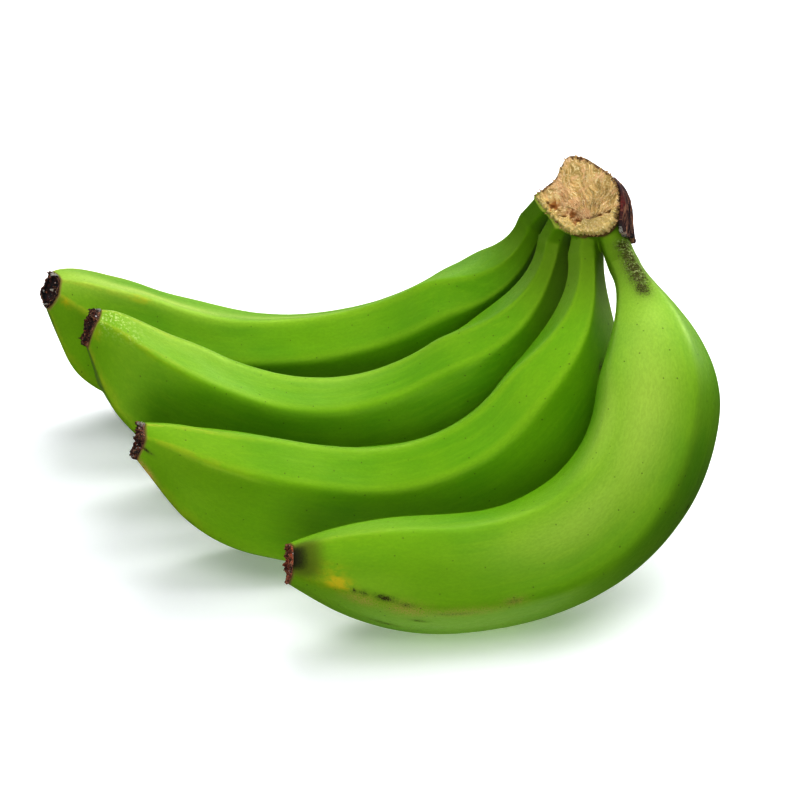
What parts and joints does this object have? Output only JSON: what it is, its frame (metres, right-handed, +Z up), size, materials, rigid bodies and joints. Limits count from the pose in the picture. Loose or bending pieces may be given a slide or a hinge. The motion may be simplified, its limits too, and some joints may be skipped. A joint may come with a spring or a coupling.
{
  "type": "plantain hand",
  "caption": "Hand of green plantains, curved ridged fruits grown together at one cut crown, lying on their undersides.",
  "frame": {"origin": "on the surface that the hand lies on, under the middle of its box", "axes": "+Z up; +X from the fruits' tips towards the crown; -Y the side that was pictured, with the longest fruit in front"},
  "size_m": [0.2388, 0.1906, 0.1168],
  "materials": {
    "peel": "satin, green plantain peel",
    "cut_crown": "matt, cut fibrous stalk",
    "dried_end": "matt, dried flower end",
    "dried_scale": "matt, dried bract"
  },
  "bodies": {
    "root": {"finger_1": "peel", "finger_2": "peel", "finger_3": "peel", "finger_4": "peel", "tip_1": "dried_end", "tip_2": "dried_end", "tip_3": "dried_end", "tip_4": "dried_end", "crown": "cut_crown", "dried_scale": "dried_scale"}
  },
  "joints": []
}
